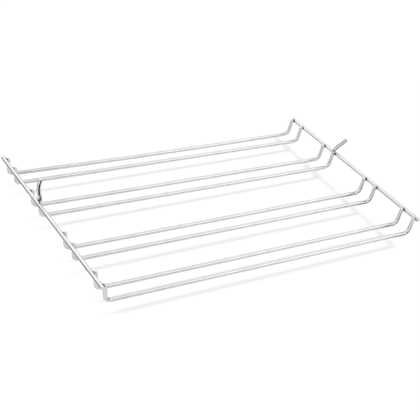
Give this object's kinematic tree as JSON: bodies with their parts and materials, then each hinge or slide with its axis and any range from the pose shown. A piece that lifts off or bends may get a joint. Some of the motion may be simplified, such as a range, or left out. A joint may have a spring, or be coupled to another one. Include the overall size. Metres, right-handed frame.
{
  "type": "oven side rack",
  "caption": "Chrome wire side rack for an oven: pairs of runners that guide trays, welded to two uprights, with two hooks for the oven wall.",
  "frame": {"origin": "middle of the overall length and width, on the plane that the runners lie on", "axes": "+X along the runners towards the hook that leans out, +Y up the uprights towards the top level as hung, +Z from the runners towards the uprights and hooks, which is towards the oven wall as hung"},
  "size_m": [0.4174, 0.2556, 0.0489],
  "materials": {
    "chrome": "bright chrome plating on drawn steel wire"
  },
  "bodies": {
    "root": {"left_upright": "chrome", "right_upright": "chrome", "level_1_upper_runner": "chrome", "level_1_lower_runner": "chrome", "level_2_upper_runner": "chrome", "level_2_lower_runner": "chrome", "level_3_upper_runner": "chrome", "level_3_lower_runner": "chrome", "level_4_upper_runner": "chrome", "level_4_lower_runner": "chrome"}
  },
  "joints": []
}
